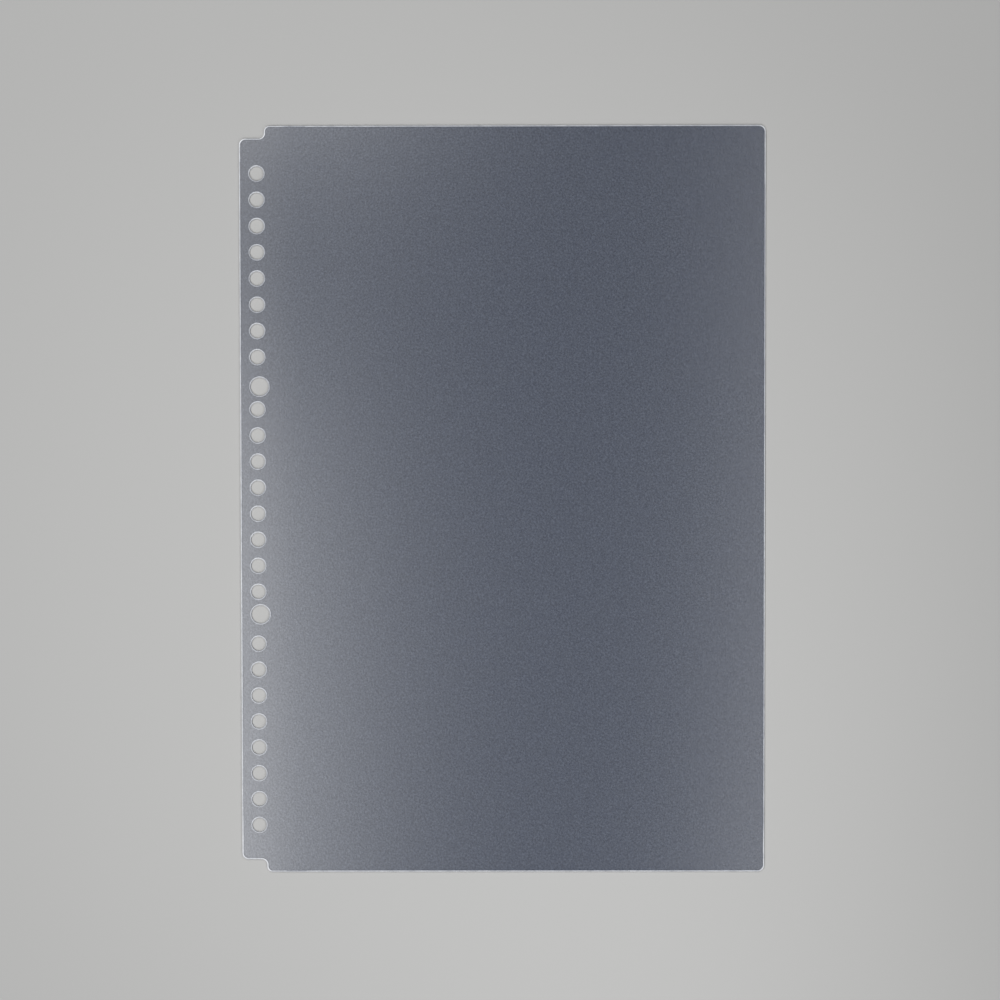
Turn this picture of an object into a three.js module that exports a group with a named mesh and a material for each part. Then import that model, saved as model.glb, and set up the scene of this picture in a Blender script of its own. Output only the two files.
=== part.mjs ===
// A loose-leaf binder cover: one flat, frosted plastic sheet with a punched strip along its spine edge.
// The sheet is described by three zones that meet face to face: the punched binding strip, the band
// beside it that bends when the cover is lifted, and the wide panel.
// Millimetres. +X runs from the spine edge to the fore edge, +Y along the sheet, +Z up.
// The origin is the middle of the underside.

import * as THREE from 'three';

// The sheet
const sheetWidth = 191; // spine edge to fore edge
const sheetLength = 272;
const sheetThickness = 0.7;
const foreCornerRadius = 2.4;

// The tab: the spine side of the sheet, which a notch shortens at each end
const tabWidth = 9.1; // spine edge to the step of the notch
const notchDepth = 4.6;
const tabCornerRadius = 2.3;
const stepCornerRadius = 2; // the outward corner at the top of the step
const notchFilletRadius = 2; // the inward corner at the foot of the step

// The punched holes, in one row along the spine, the same both ways from the middle
const holePitch = 9.5;
const holeDiameter = 5.2;
const wideHoleDiameter = 6.7;
const wideHolePlace = 5; // counted from the middle, in place of a small hole
const wideHoleShift = 1.25; // nearer the middle than that small hole would be
const spineRim = 3.7; // sheet left between the spine edge and every hole
const leastEndRim = 10; // least sheet left between the last hole and the end of the tab

// The zones
const stripRim = 2.9; // plain sheet between the step's outward corner and the flex band
const flexBandWidth = 12;

// Roundness of the small arcs
const stepsPerTurn = 32;
const leastStep = 1e-6; // closer points are one point

const frostedColor = 0x8a909c;
const frostedRoughness = 0.6;

const halfLength = sheetLength / 2;
const spineX = -sheetWidth / 2;
const foreX = sheetWidth / 2;
const tabHalfLength = halfLength - notchDepth;
const stepX = spineX + tabWidth;
const stepRadius = Math.min(stepCornerRadius, notchDepth / 2);
const filletRadius = Math.min(notchFilletRadius, notchDepth / 2, tabWidth / 2);
const tabRadius = Math.min(tabCornerRadius, tabWidth - filletRadius);
const stripX = Math.max(stepX + stepRadius, spineX + spineRim + wideHoleDiameter) + stripRim;
const panelX = stripX + flexBandWidth;

// The holes lie half a pitch each side of the middle and fill the tab.
function punchedHoles() {
  const room = tabHalfLength - leastEndRim - holeDiameter / 2;
  const places = Math.floor(room / holePitch + 1 / 2);
  const holes = [];
  for (let place = 1; place <= places; place += 1) {
    const isWide = place === wideHolePlace;
    const radius = (isWide ? wideHoleDiameter : holeDiameter) / 2;
    const fromMiddle = (place - 1 / 2) * holePitch - (isWide ? wideHoleShift : 0);
    for (const side of [-1, 1]) {
      holes.push({ x: spineX + spineRim + radius, y: side * fromMiddle, radius });
    }
  }
  return holes;
}

// The strip's outline runs anticlockwise from the foot of its straight inner side.
function stripShape() {
  const shape = new THREE.Shape();
  const quarter = Math.PI / 2;
  shape.moveTo(stripX, -halfLength);
  shape.lineTo(stripX, halfLength);
  shape.absarc(stepX + stepRadius, halfLength - stepRadius, stepRadius, quarter, 2 * quarter);
  shape.absarc(
    stepX - filletRadius, tabHalfLength + filletRadius, filletRadius, 0, -quarter, true,
  );
  shape.absarc(spineX + tabRadius, tabHalfLength - tabRadius, tabRadius, quarter, 2 * quarter);
  shape.absarc(
    spineX + tabRadius, -tabHalfLength + tabRadius, tabRadius, 2 * quarter, 3 * quarter,
  );
  shape.absarc(
    stepX - filletRadius, -tabHalfLength - filletRadius, filletRadius, quarter, 0, true,
  );
  shape.absarc(
    stepX + stepRadius, -halfLength + stepRadius, stepRadius, 2 * quarter, 3 * quarter,
  );
  shape.closePath();
  for (const hole of punchedHoles()) {
    const path = new THREE.Path();
    path.absarc(hole.x, hole.y, hole.radius, 0, 4 * quarter);
    shape.holes.push(path);
  }
  return shape;
}

function bandShape() {
  const shape = new THREE.Shape();
  shape.moveTo(stripX, -halfLength);
  shape.lineTo(panelX, -halfLength);
  shape.lineTo(panelX, halfLength);
  shape.lineTo(stripX, halfLength);
  shape.closePath();
  return shape;
}

function panelShape() {
  const shape = new THREE.Shape();
  const quarter = Math.PI / 2;
  const radius = foreCornerRadius;
  shape.moveTo(panelX, halfLength);
  shape.lineTo(panelX, -halfLength);
  shape.absarc(foreX - radius, -halfLength + radius, radius, -quarter, 0);
  shape.absarc(foreX - radius, halfLength - radius, radius, 0, quarter);
  shape.closePath();
  return shape;
}

// A straight side gives one point, a full turn gives stepsPerTurn and an arc its share of them.
function pointsOf(path) {
  const points = [];
  for (const curve of path.curves) {
    const turn = curve.isEllipseCurve ? Math.abs(curve.aEndAngle - curve.aStartAngle) : 0;
    const steps = Math.max(1, Math.round((stepsPerTurn * turn) / (2 * Math.PI)));
    for (let i = 0; i < steps; i += 1) {
      points.push(curve.getPoint(i / steps));
    }
  }
  return points.filter((point, i) => point.distanceTo(points.at(i - 1)) > leastStep);
}

function cutFromSheet(name, outline) {
  const shape = new THREE.Shape(pointsOf(outline));
  shape.holes = outline.holes.map((hole) => new THREE.Path(pointsOf(hole)));
  const geometry = new THREE.ExtrudeGeometry(shape, { depth: sheetThickness, bevelEnabled: false });
  const material = new THREE.MeshStandardMaterial({
    color: frostedColor,
    roughness: frostedRoughness,
    metalness: 0,
  });
  const mesh = new THREE.Mesh(geometry, material);
  mesh.name = name;
  return mesh;
}

const cover = new THREE.Group();
cover.add(cutFromSheet('binding_strip', stripShape()));
cover.add(cutFromSheet('flex_band', bandShape()));
cover.add(cutFromSheet('cover_panel', panelShape()));

export default cover;
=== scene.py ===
# A loose-leaf binder cover of frosted plastic, lying flat on a pale floor and seen from above.
import math
import random

import bmesh
import bpy
from mathutils import Euler, Matrix, Vector


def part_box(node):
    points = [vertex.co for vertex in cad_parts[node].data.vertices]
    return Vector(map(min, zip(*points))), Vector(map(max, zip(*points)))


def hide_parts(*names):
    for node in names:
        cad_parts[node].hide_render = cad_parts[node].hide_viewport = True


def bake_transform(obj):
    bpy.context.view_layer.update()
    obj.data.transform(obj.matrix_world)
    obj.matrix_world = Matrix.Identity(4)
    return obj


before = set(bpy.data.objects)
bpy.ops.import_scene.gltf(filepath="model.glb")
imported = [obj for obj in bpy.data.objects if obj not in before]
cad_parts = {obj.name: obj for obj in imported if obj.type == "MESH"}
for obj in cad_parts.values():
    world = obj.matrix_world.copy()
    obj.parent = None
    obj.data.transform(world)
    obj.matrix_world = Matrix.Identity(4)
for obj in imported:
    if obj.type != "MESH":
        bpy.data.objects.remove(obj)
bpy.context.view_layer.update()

mm = 0.001
leastGap = 1e-7  # points nearer to a cut than this lie on it
flatNormal = 0.999  # least upward or downward share of a flat face's normal
noiseMiddle = 0.5  # the tone about which every noise varies

scene = bpy.context.scene
scene.view_settings.view_transform = 'Standard'


# The camera hangs above the sheet, almost square to it
cameraView = {
    'aim': (-0.99 * mm, 0.12 * mm, 0),
    'distance': 0.8,
    'turns': (-1.769, 0.246, -0.082),  # degrees about X, Y and Z
    'lens': 78.99,
    'sensor': 36,
}


def hangCamera(view):
    camera = bpy.data.objects.new('camera', bpy.data.cameras.new('camera'))
    camera.data.lens = view['lens']
    camera.data.sensor_width = view['sensor']
    turn = Euler([math.radians(angle) for angle in view['turns']], 'XYZ').to_matrix()
    eye = Vector(view['aim']) + turn @ Vector((0, 0, view['distance']))
    camera.matrix_world = Matrix.Translation(eye) @ turn.to_4x4()
    scene.collection.objects.link(camera)
    scene.camera = camera


hangCamera(cameraView)
print('camera hung')


# Shader maths: a Signal is a socket, and sums of signals add Math nodes
class Signal:
    def __init__(self, shade, socket):
        self.shade = shade
        self.socket = socket

    def maths(self, operation, first, second):
        return self.shade.add('ShaderNodeMath', {'operation': operation}, {0: first, 1: second})

    def __add__(self, other):
        return self.maths('ADD', self, other)

    def __radd__(self, other):
        return self.maths('ADD', other, self)

    def __sub__(self, other):
        return self.maths('SUBTRACT', self, other)

    def __rsub__(self, other):
        return self.maths('SUBTRACT', other, self)

    def __mul__(self, other):
        return self.maths('MULTIPLY', self, other)

    def __rmul__(self, other):
        return self.maths('MULTIPLY', other, self)


class Shade:
    def __init__(self, owner, outputKind='ShaderNodeOutputMaterial'):
        owner.use_nodes = True
        self.owner = owner
        self.outputKind = outputKind
        self.tree = owner.node_tree
        self.tree.nodes.clear()

    def add(self, kind, settings, inputs, output=0):
        node = self.tree.nodes.new(kind)
        for name, value in settings.items():
            setattr(node, name, value)
        for name, value in inputs.items():
            if isinstance(value, Signal):
                self.tree.links.new(value.socket, node.inputs[name])
            else:
                node.inputs[name].default_value = value
        return Signal(self, node.outputs[output]) if node.outputs else None

    def blendColor(self, factor, first, second):
        settings = {'data_type': 'RGBA', 'clamp_factor': True}
        return self.add('ShaderNodeMix', settings, {0: factor, 6: first, 7: second}, 2)

    def finish(self, surface):
        self.add(self.outputKind, {}, {'Surface': surface})
        return self.owner


# Finish of the sheet: frosted plastic, a little see-through, with a painted glow along its cut edges
# and beside the punched strip
frostLook = {
    'color': (0.0, 0.0105, 0.046, 1),
    'paleColor': (0.086, 0.1065, 0.158, 1),
    'tintColor': (0.048, 0.062, 0.087, 1),  # greyer clouds
    'tintShare': 0.3,
    # painted glow: the colour of light leaving the sheet at its cut edges
    'cutGlowColor': (0.78, 0.8, 0.84, 1),
    'spineGlowColor': (0.42, 0.42, 0.43, 1),  # painted glow near the spine edge, where light would leave the sheet
    'spineGlowShare': 0.13,
    'spineGlowReach': 24 * mm,
    'roughness': 0.34,
    'roughnessRange': 0.03,
    'cutRoughness': 0.1,  # so much more at the cut
    'ior': 1.49,
    'gloss': 1.0,
    'cover': 0.55,  # how far each face hides what is behind it
    'coverRange': 0.3,
    'cutCover': 0.95,
    'cutReach': 0.6,  # share of the cut's band over which its painted glow, roughness and cover fade
    'grainTurn': (0.6, 0.4, 0.9),  # off the sheet's own directions, so that no rows show
    'grainScale': 1550,  # frosting about 0.6 mm across
    'grainDetail': 1.0,
    'grainContrast': 1.75,
    'grainSparkle': 20.0,  # more contrast for the strongest grains alone
    'cloudScale': 190,  # soft clouds about 5 mm across
    'cloudDetail': 2.0,
    'cutScale': 260,  # uneven painted glow along the cut
    'cutDetail': 1.0,
    'cutEvenness': 0.5,
    'grainDepth': 0.009 * mm,
}


def frostedPlastic(look):
    shade = Shade(bpy.data.materials.new('frosted plastic'))
    flat = shade.add('ShaderNodeTexCoord', {}, {}, 'Object')
    place = shade.add('ShaderNodeMapping', {}, {'Vector': flat, 'Rotation': look['grainTurn']})

    def noise(scale, detail):
        return shade.add(
            'ShaderNodeTexNoise', {}, {'Vector': place, 'Scale': scale, 'Detail': detail},
        )

    grain = noise(look['grainScale'], look['grainDetail'])
    cloud = noise(look['cloudScale'], look['cloudDetail'])
    wander = noise(look['cutScale'], look['cutDetail'])
    band = shade.add('ShaderNodeAttribute', {'attribute_name': 'cutEdge'}, {}, 'Fac')
    tone = shade.add('ShaderNodeAttribute', {'attribute_name': 'cutGlowStrength'}, {}, 'Fac')
    edge = shade.add(
        'ShaderNodeMapRange', {'interpolation_type': 'SMOOTHSTEP'},
        {'Value': band, 'From Min': 0, 'From Max': look['cutReach'], 'To Min': 0, 'To Max': 1},
    )
    # cut: strength of the painted glow along the cut edges, uneven along the edge
    cut = edge * tone * (wander + look['cutEvenness'])
    fleck = grain - noiseMiddle
    sparkle = fleck * fleck * fleck * look['grainSparkle']
    speckle = fleck * look['grainContrast'] + sparkle + noiseMiddle
    cover = look['cover'] + fleck * look['coverRange']  # pale grains hide more
    rough = look['roughness'] - fleck * look['roughnessRange'] + edge * look['cutRoughness']
    frost = shade.blendColor(speckle, look['color'], look['paleColor'])
    tinted = shade.blendColor(cloud * look['tintShare'], frost, look['tintColor'])
    # painted glow fading in from the spine edge across the punched strip
    across = shade.add('ShaderNodeSeparateXYZ', {}, {'Vector': flat}, 'X')
    strip = shade.add(
        'ShaderNodeMapRange', {'interpolation_type': 'SMOOTHSTEP'},
        {'Value': across, 'From Min': spineX, 'From Max': spineX + look['spineGlowReach'],
         'To Min': look['spineGlowShare'], 'To Max': 0},
    )
    body = shade.blendColor(strip, tinted, look['spineGlowColor'])
    normal = shade.add(
        'ShaderNodeBump', {},
        {'Height': grain, 'Strength': 1.0, 'Distance': look['grainDepth']},
    )
    surface = shade.add(
        'ShaderNodeBsdfPrincipled', {},
        {
            'Base Color': shade.blendColor(cut, body, look['cutGlowColor']),
            'Roughness': rough,
            'IOR': look['ior'],
            'Specular IOR Level': look['gloss'],
            'Alpha': cover + edge * (look['cutCover'] - look['cover']),
            'Normal': normal,
        },
    )
    return shade.finish(surface)


# The sheet: one die-cut piece, which bends at the band beside its punched strip
sheetCut = {
    'tabWidth': 9.1 * mm,
    'notchDepth': 4.6 * mm,
    'tabCorner': 2.3 * mm,
    'stepCorner': 2 * mm,
    'notchFillet': 2 * mm,
    'foreCorner': 2.4 * mm,
    'cornerSteps': 10,
    'pitch': 9.5 * mm,
    'places': 13,  # holes each way from mid-length
    'holeRadius': 2.6 * mm,
    'wideRadius': 3.35 * mm,
    'widePlace': 5,
    'wideShift': 1.25 * mm,
    'spineRim': 3.7 * mm,
    'holeSteps': 48,
    'bendInset': 2 * mm,  # the bend keeps this far inside its band
    'bendSteps': 24,
    'rimRound': 0.14 * mm,  # the cut's edges are barely rounded
    'rimSteps': 3,
    'rimGlow': 0.5 * mm,  # how far the painted glow of the cut reaches into the sheet
    'glowWander': 0.12,  # how unevenly it does so round a hole
    'burr': 0.1 * mm,  # most that the punch left standing inside a hole
    'burrShare': 0.12,  # share of the rim where it did
    # Painted highlight on the cut: its glow is stronger on the long sides and on the upper sides of
    # the holes, where the light falls
    'shortSideGlow': 0.46,  # how strong the painted glow of the cut is along the short sides
    'longSideGlow': 0.7,
    'cornerGlow': 0.3,  # more painted glow where the outline turns
    'holeGlow': 0.32,
    'holeTopGlow': 0.25,  # more painted glow on each hole's upper side, where the light falls
    'seed': 7,
}

stripLow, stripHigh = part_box('binding_strip')
panelLow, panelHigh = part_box('cover_panel')
spineX, stripX = stripLow[0], stripHigh[0]
panelX, foreX = panelLow[0], panelHigh[0]
bendX, bendEndX = stripX + sheetCut['bendInset'], panelX - sheetCut['bendInset']
halfLength = panelHigh[1]
sheetTop = panelHigh[2]


def holesOf(cut):
    holes = []
    for place in range(cut['places']):
        isWide = place + 1 == cut['widePlace']
        radius = cut['wideRadius'] if isWide else cut['holeRadius']
        fromMiddle = (place + 0.5) * cut['pitch'] - (cut['wideShift'] if isWide else 0)
        holes += [(side * fromMiddle, radius) for side in (1, -1)]
    return sorted(holes)


def roundCorner(bm, x, y, radius, steps):
    corner = min(bm.verts, key=lambda vert: (vert.co.x - x) ** 2 + (vert.co.y - y) ** 2)
    bmesh.ops.bevel(
        bm, geom=[corner], affect='VERTICES', offset=radius, offset_type='OFFSET',
        segments=steps, profile=0.5, material=-1,
    )


# One flat face with its corners rounded, and a narrow band inside its outline for the glow
def drawOutline(bm, cut):
    tabHalf = halfLength - cut['notchDepth']
    stepX = spineX + cut['tabWidth']
    corners = [
        (foreX, halfLength, cut['foreCorner']),
        (stepX, halfLength, cut['stepCorner']),
        (stepX, tabHalf, cut['notchFillet']),
        (spineX, tabHalf, cut['tabCorner']),
    ]
    corners += [(x, -y, radius) for x, y, radius in reversed(corners)]
    bm.faces.new([bm.verts.new((x, y, 0)) for x, y, radius in corners])
    for x, y, radius in corners:
        roundCorner(bm, x, y, radius, cut['cornerSteps'])
    bmesh.ops.inset_region(
        bm, faces=bm.faces[:], thickness=cut['rimGlow'], use_boundary=True, use_even_offset=True,
    )


def cutAcross(bm, place, direction):
    bmesh.ops.bisect_plane(
        bm, geom=bm.verts[:] + bm.edges[:] + bm.faces[:], dist=leastGap, plane_co=place,
        plane_no=direction,
    )


# Each hole gets a cell of its own, and the band gets the rows of faces that it bends along
def divideSheet(bm, cut):
    bendStep = (bendEndX - bendX) / cut['bendSteps']
    for step in range(cut['bendSteps'] + 1):
        cutAcross(bm, (bendX + step * bendStep, 0, 0), (1, 0, 0))
    holes = holesOf(cut)
    for (y, radius), (nextY, nextRadius) in zip(holes, holes[1:]):
        cutAcross(bm, (0, (y + radius + nextY - nextRadius) / 2, 0), (0, 1, 0))
    endY = holes[-1][0] + cut['pitch'] / 2
    for side in (1, -1):
        cutAcross(bm, (0, side * endY, 0), (0, 1, 0))


def punchHole(bm, y, radius, cut, chance):
    middle = Vector((spineX + cut['spineRim'] + radius, y, 0))
    cell = next(f for f in bm.faces if bmesh.geometry.intersect_face_point(f, middle))
    sides = cell.edges[:]
    bmesh.ops.delete(bm, geom=[cell], context='FACES_ONLY')
    ring = bmesh.ops.create_circle(
        bm, cap_ends=False, radius=radius, segments=cut['holeSteps'],
        matrix=Matrix.Translation(middle),
    )['verts']
    rim = {edge for vert in ring for edge in vert.link_edges}
    grown = bmesh.ops.extrude_edge_only(bm, edges=list(rim))['geom']
    outer = [part for part in grown if isinstance(part, bmesh.types.BMVert)]
    for vert in outer:
        reach = cut['rimGlow'] * (1 + chance.uniform(-1, 1) * cut['glowWander'])
        vert.co += (vert.co - middle).normalized() * reach
    for vert in ring:
        if chance.random() < cut['burrShare']:
            vert.co -= (vert.co - middle).normalized() * chance.random() * cut['burr']
    outerEdges = [part for part in grown if isinstance(part, bmesh.types.BMEdge)
                  and all(vert in outer for vert in part.verts)]
    bmesh.ops.triangle_fill(bm, edges=sides + outerEdges, use_beauty=True, normal=(0, 0, 1))


def isFlat(face):
    return abs(face.normal.z) > flatNormal


def thickenSheet(bm, cut):
    bmesh.ops.recalc_face_normals(bm, faces=bm.faces[:])
    grown = bmesh.ops.extrude_face_region(bm, geom=bm.faces[:])['geom']
    bmesh.ops.translate(
        bm, verts=[v for v in grown if isinstance(v, bmesh.types.BMVert)], vec=(0, 0, sheetTop),
    )
    bmesh.ops.recalc_face_normals(bm, faces=bm.faces[:])
    rims = [e for e in bm.edges if sum(isFlat(f) for f in e.link_faces) == 1]
    bmesh.ops.bevel(
        bm, geom=rims, affect='EDGES', offset=cut['rimRound'], offset_type='OFFSET',
        segments=cut['rimSteps'], profile=0.5, material=-1, clamp_overlap=False,
    )


# How strong the painted glow of the cut is at a point, by which way the edge faces
def cutGlowStrength(vert, cut):
    for y, radius in holesOf(cut):
        arm = vert.co.xy - Vector((spineX + cut['spineRim'] + radius, y))
        if arm.length < radius + 2 * cut['rimGlow']:
            return cut['holeGlow'] + max(arm.y / arm.length, 0) * cut['holeTopGlow']
    out = vert.normal.xy.normalized()
    sides = cut['longSideGlow'] * out.x ** 2 + cut['shortSideGlow'] * out.y ** 2
    return sides + cut['cornerGlow'] * abs(2 * out.x * out.y)


def cutSheet(cut):
    chance = random.Random(cut['seed'])
    bm = bmesh.new()
    drawOutline(bm, cut)
    divideSheet(bm, cut)
    for y, radius in holesOf(cut):
        punchHole(bm, y, radius, cut, chance)
    thickenSheet(bm, cut)
    glow = bm.verts.layers.float.new('cutEdge')
    tone = bm.verts.layers.float.new('cutGlowStrength')
    bm.normal_update()
    for vert in bm.verts:
        vert[glow] = 0.0 if all(isFlat(f) for f in vert.link_faces) else 1.0
        # painted glow strength of the cut at this point
        vert[tone] = cutGlowStrength(vert, cut)
    for face in bm.faces:
        face.smooth = True
    for edge in bm.edges:
        edge.smooth = sum(isFlat(f) for f in edge.link_faces) != 1
    mesh = bpy.data.meshes.new('cover_sheet')
    bm.to_mesh(mesh)
    bm.free()
    sheet = bpy.data.objects.new('cover_sheet', mesh)
    scene.collection.objects.link(sheet)
    return sheet


coverSheet = cutSheet(sheetCut)
coverSheet.data.materials.append(frostedPlastic(frostLook))
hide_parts('binding_strip', 'flex_band', 'cover_panel')
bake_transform(coverSheet)
print('sheet cut:', len(coverSheet.data.polygons), 'faces')


# The studio: a pale floor and backdrop, strip softboxes just outside the view and a dim sky
studio = {
    'floorReach': 3,
    'floorDrop': 0.1 * mm,  # so that it doesn't meet the sheet's underside
    'floorColor': (0.43, 0.43, 0.425, 1),
    'floorRoughness': 0.9,
    'floorGloss': 0.2,
    'paleColor': (0.5, 0.5, 0.495, 1),  # the floor and backdrop beyond the softboxes
    'litReach': 0.18,  # out to here the floor shows its own light and shadow
    'paleReach': 0.45,
    'wallReach': 2.5,
    'wallHeight': 1.1,
    'wallSteps': 96,
    'skyColor': (1, 1, 1, 1),
    'skyStrength': 0.12,
    'lamps': [
        {'place': (-0.203, -0.161, 0.534), 'aim': (0.099, -0.081, 0), 'size': (0.034, 0.464),
         'power': 2.3},
        {'place': (0.146, -0.079, 0.276), 'aim': (0.001, 0, 0), 'size': (0.03, 0.816),
         'power': 0.71},
        {'place': (-0.18, 0.317, 0.556), 'aim': (-0.18, 0.2, 0), 'size': (0.17, 0.098),
         'power': 1.31},
    ],
}


def stageMesh(name, bm, material):
    mesh = bpy.data.meshes.new(name)
    bm.to_mesh(mesh)
    bm.free()
    mesh.materials.append(material)
    stagePiece = bpy.data.objects.new(name, mesh)
    scene.collection.objects.link(stagePiece)


# Camera and gloss rays see the pale backdrop, and it lights nothing
def seenRays(shade):
    camera = shade.add('ShaderNodeLightPath', {}, {}, 'Is Camera Ray')
    return camera + shade.add('ShaderNodeLightPath', {}, {}, 'Is Glossy Ray')


def layFloor(values):
    bm = bmesh.new()
    bmesh.ops.create_grid(
        bm, x_segments=1, y_segments=1, size=values['floorReach'],
        matrix=Matrix.Translation((0, 0, -values['floorDrop'])),
    )
    shade = Shade(bpy.data.materials.new('pale floor'))
    place = shade.add('ShaderNodeTexCoord', {}, {}, 'Object')
    away = shade.add('ShaderNodeVectorMath', {'operation': 'LENGTH'}, {0: place}, 'Value')
    beyond = shade.add(
        'ShaderNodeMapRange', {'interpolation_type': 'SMOOTHSTEP'},
        {'Value': away, 'From Min': values['litReach'], 'From Max': values['paleReach'],
         'To Min': 0, 'To Max': 1},
    )
    lit = shade.add(
        'ShaderNodeBsdfPrincipled', {},
        {'Base Color': values['floorColor'], 'Roughness': values['floorRoughness'],
         'Specular IOR Level': values['floorGloss']},
    )
    pale = shade.add('ShaderNodeEmission', {}, {'Color': values['paleColor'], 'Strength': 1})
    surface = shade.add('ShaderNodeMixShader', {}, {0: beyond * seenRays(shade), 1: lit, 2: pale})
    stageMesh('floor', bm, shade.finish(surface))


def standBackdrop(values):
    bm = bmesh.new()
    ring = bmesh.ops.create_circle(
        bm, cap_ends=False, radius=values['wallReach'], segments=values['wallSteps'],
        matrix=Matrix.Translation((0, 0, -values['floorDrop'])),
    )['verts']
    rim = {edge for vert in ring for edge in vert.link_edges}
    grown = bmesh.ops.extrude_edge_only(bm, edges=list(rim))['geom']
    bmesh.ops.translate(
        bm, verts=[v for v in grown if isinstance(v, bmesh.types.BMVert)],
        vec=(0, 0, values['wallHeight']),
    )
    shade = Shade(bpy.data.materials.new('pale backdrop'))
    clear = shade.add('ShaderNodeBsdfTransparent', {}, {})
    pale = shade.add('ShaderNodeEmission', {}, {'Color': values['paleColor'], 'Strength': 1})
    surface = shade.add('ShaderNodeMixShader', {}, {0: seenRays(shade), 1: clear, 2: pale})
    stageMesh('backdrop', bm, shade.finish(surface))


def hangLamp(name, values):
    lamp = bpy.data.lights.new(name, 'AREA')
    lamp.shape = 'RECTANGLE'
    lamp.size, lamp.size_y = values['size']
    lamp.energy = values['power']
    holder = bpy.data.objects.new(name, lamp)
    place = Vector(values['place'])
    away = (place - Vector(values['aim'])).normalized()
    along = (Vector((0, 1, 0)) - away * away.y).normalized()  # its long side follows the sheet
    turn = Matrix((along.cross(away), along, away)).transposed()
    holder.matrix_world = Matrix.Translation(place) @ turn.to_4x4()
    scene.collection.objects.link(holder)


def lightSky(values):
    shade = Shade(bpy.data.worlds.new('sky'), 'ShaderNodeOutputWorld')
    light = shade.add(
        'ShaderNodeBackground', {}, {'Color': values['skyColor'], 'Strength': values['skyStrength']},
    )
    pale = shade.add('ShaderNodeBackground', {}, {'Color': values['paleColor'], 'Strength': 1})
    camera = shade.add('ShaderNodeLightPath', {}, {}, 'Is Camera Ray')
    surface = shade.add('ShaderNodeMixShader', {}, {0: camera, 1: light, 2: pale})
    scene.world = shade.finish(surface)


layFloor(studio)
standBackdrop(studio)
for number, lampValues in enumerate(studio['lamps']):
    hangLamp('softbox%d' % number, lampValues)
lightSky(studio)
print('studio lit')
